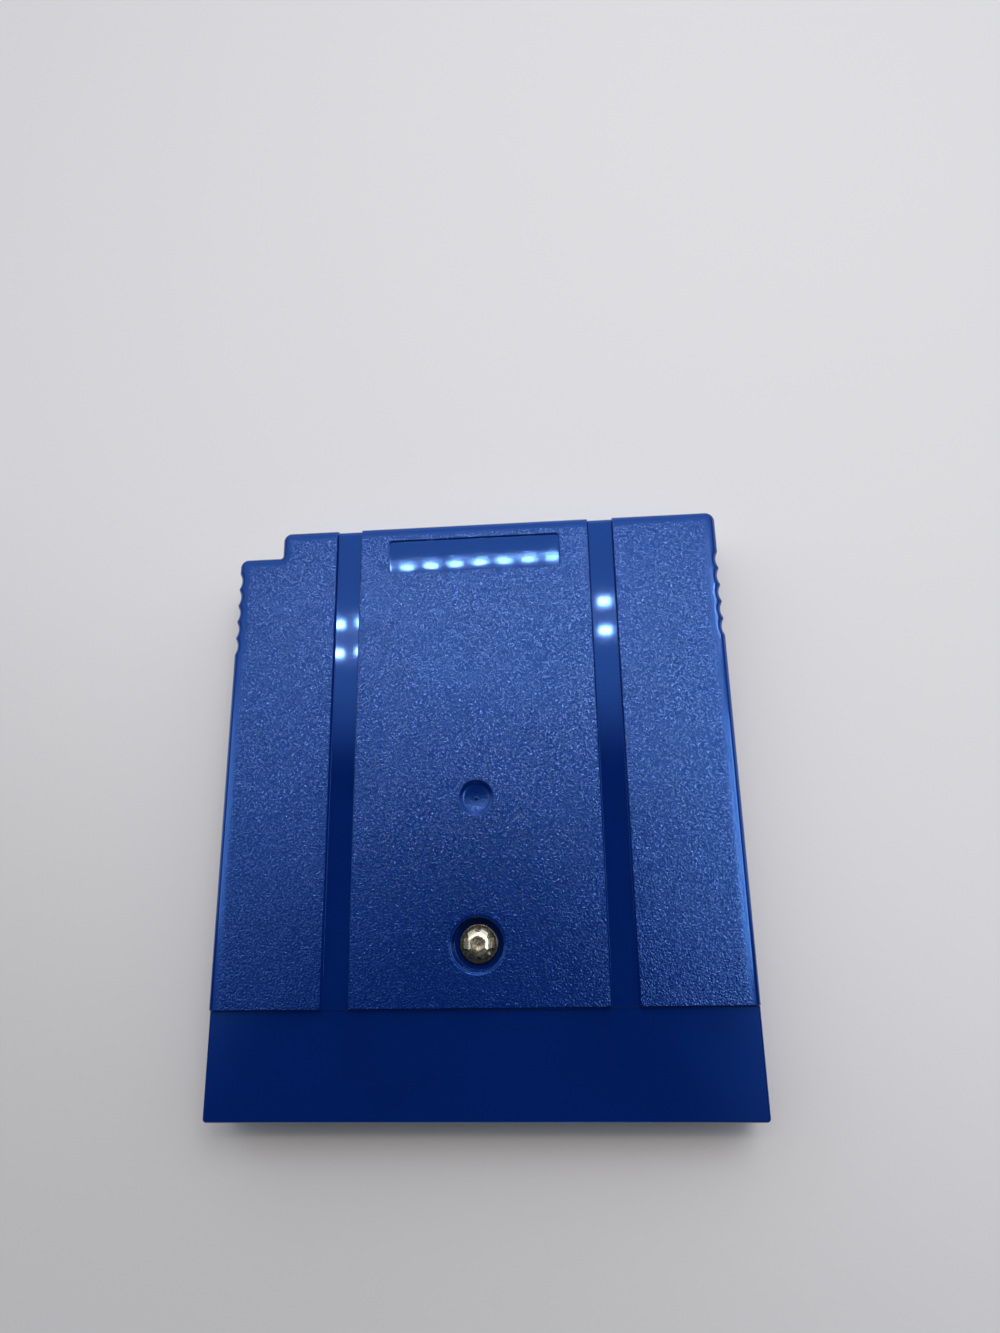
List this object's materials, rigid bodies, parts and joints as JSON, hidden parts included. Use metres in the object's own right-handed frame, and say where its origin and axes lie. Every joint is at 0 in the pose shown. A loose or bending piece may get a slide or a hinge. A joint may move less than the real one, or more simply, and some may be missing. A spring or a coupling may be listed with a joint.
{
  "type": "game cartridge",
  "caption": "Flat rectangular game cartridge in blue plastic: screwed front and rear shells with side grips and a keying notch, round a circuit board with edge contacts.",
  "frame": {"origin": "middle of the front face, which is the face the cartridge lies on", "axes": "+X across the case to the side away from the keying notch, +Y from the open contact end to the grip end, +Z out of the rear face with the screw"},
  "size_m": [0.057, 0.065, 0.0078],
  "materials": {
    "case_plastic": "fine moulded grain on the panels, smooth channels and land",
    "screw_metal": "nickel plated, warm tone",
    "board_laminate": "green solder mask",
    "contact_gold": "gold plated",
    "chip_epoxy": "moulded matt black",
    "lead_tin": "tin plated",
    "cell_steel": "polished nickel steel",
    "tab_nickel": "nickel strip",
    "capacitor_ceramic": "fired ceramic",
    "resistor_body": "black glaze",
    "capacitor_resin": "moulded yellow resin"
  },
  "bodies": {
    "root": {"front_shell": "case_plastic", "rear_shell": "case_plastic", "case_screw": "screw_metal", "circuit_board": "board_laminate", "edge_contacts": "contact_gold", "rom_chip": "chip_epoxy", "rom_leads": "lead_tin", "ram_chip": "chip_epoxy", "ram_leads": "lead_tin", "mapper_chip": "chip_epoxy", "mapper_leads": "lead_tin", "monitor_chip": "chip_epoxy", "monitor_leads": "lead_tin", "coin_cell": "cell_steel", "positive_tab": "tab_nickel", "negative_tab": "tab_nickel", "ceramic_capacitors": "capacitor_ceramic", "resistors": "resistor_body", "small_part_ends": "lead_tin", "tantalum_capacitor": "capacitor_resin", "tantalum_ends": "lead_tin"}
  },
  "joints": []
}
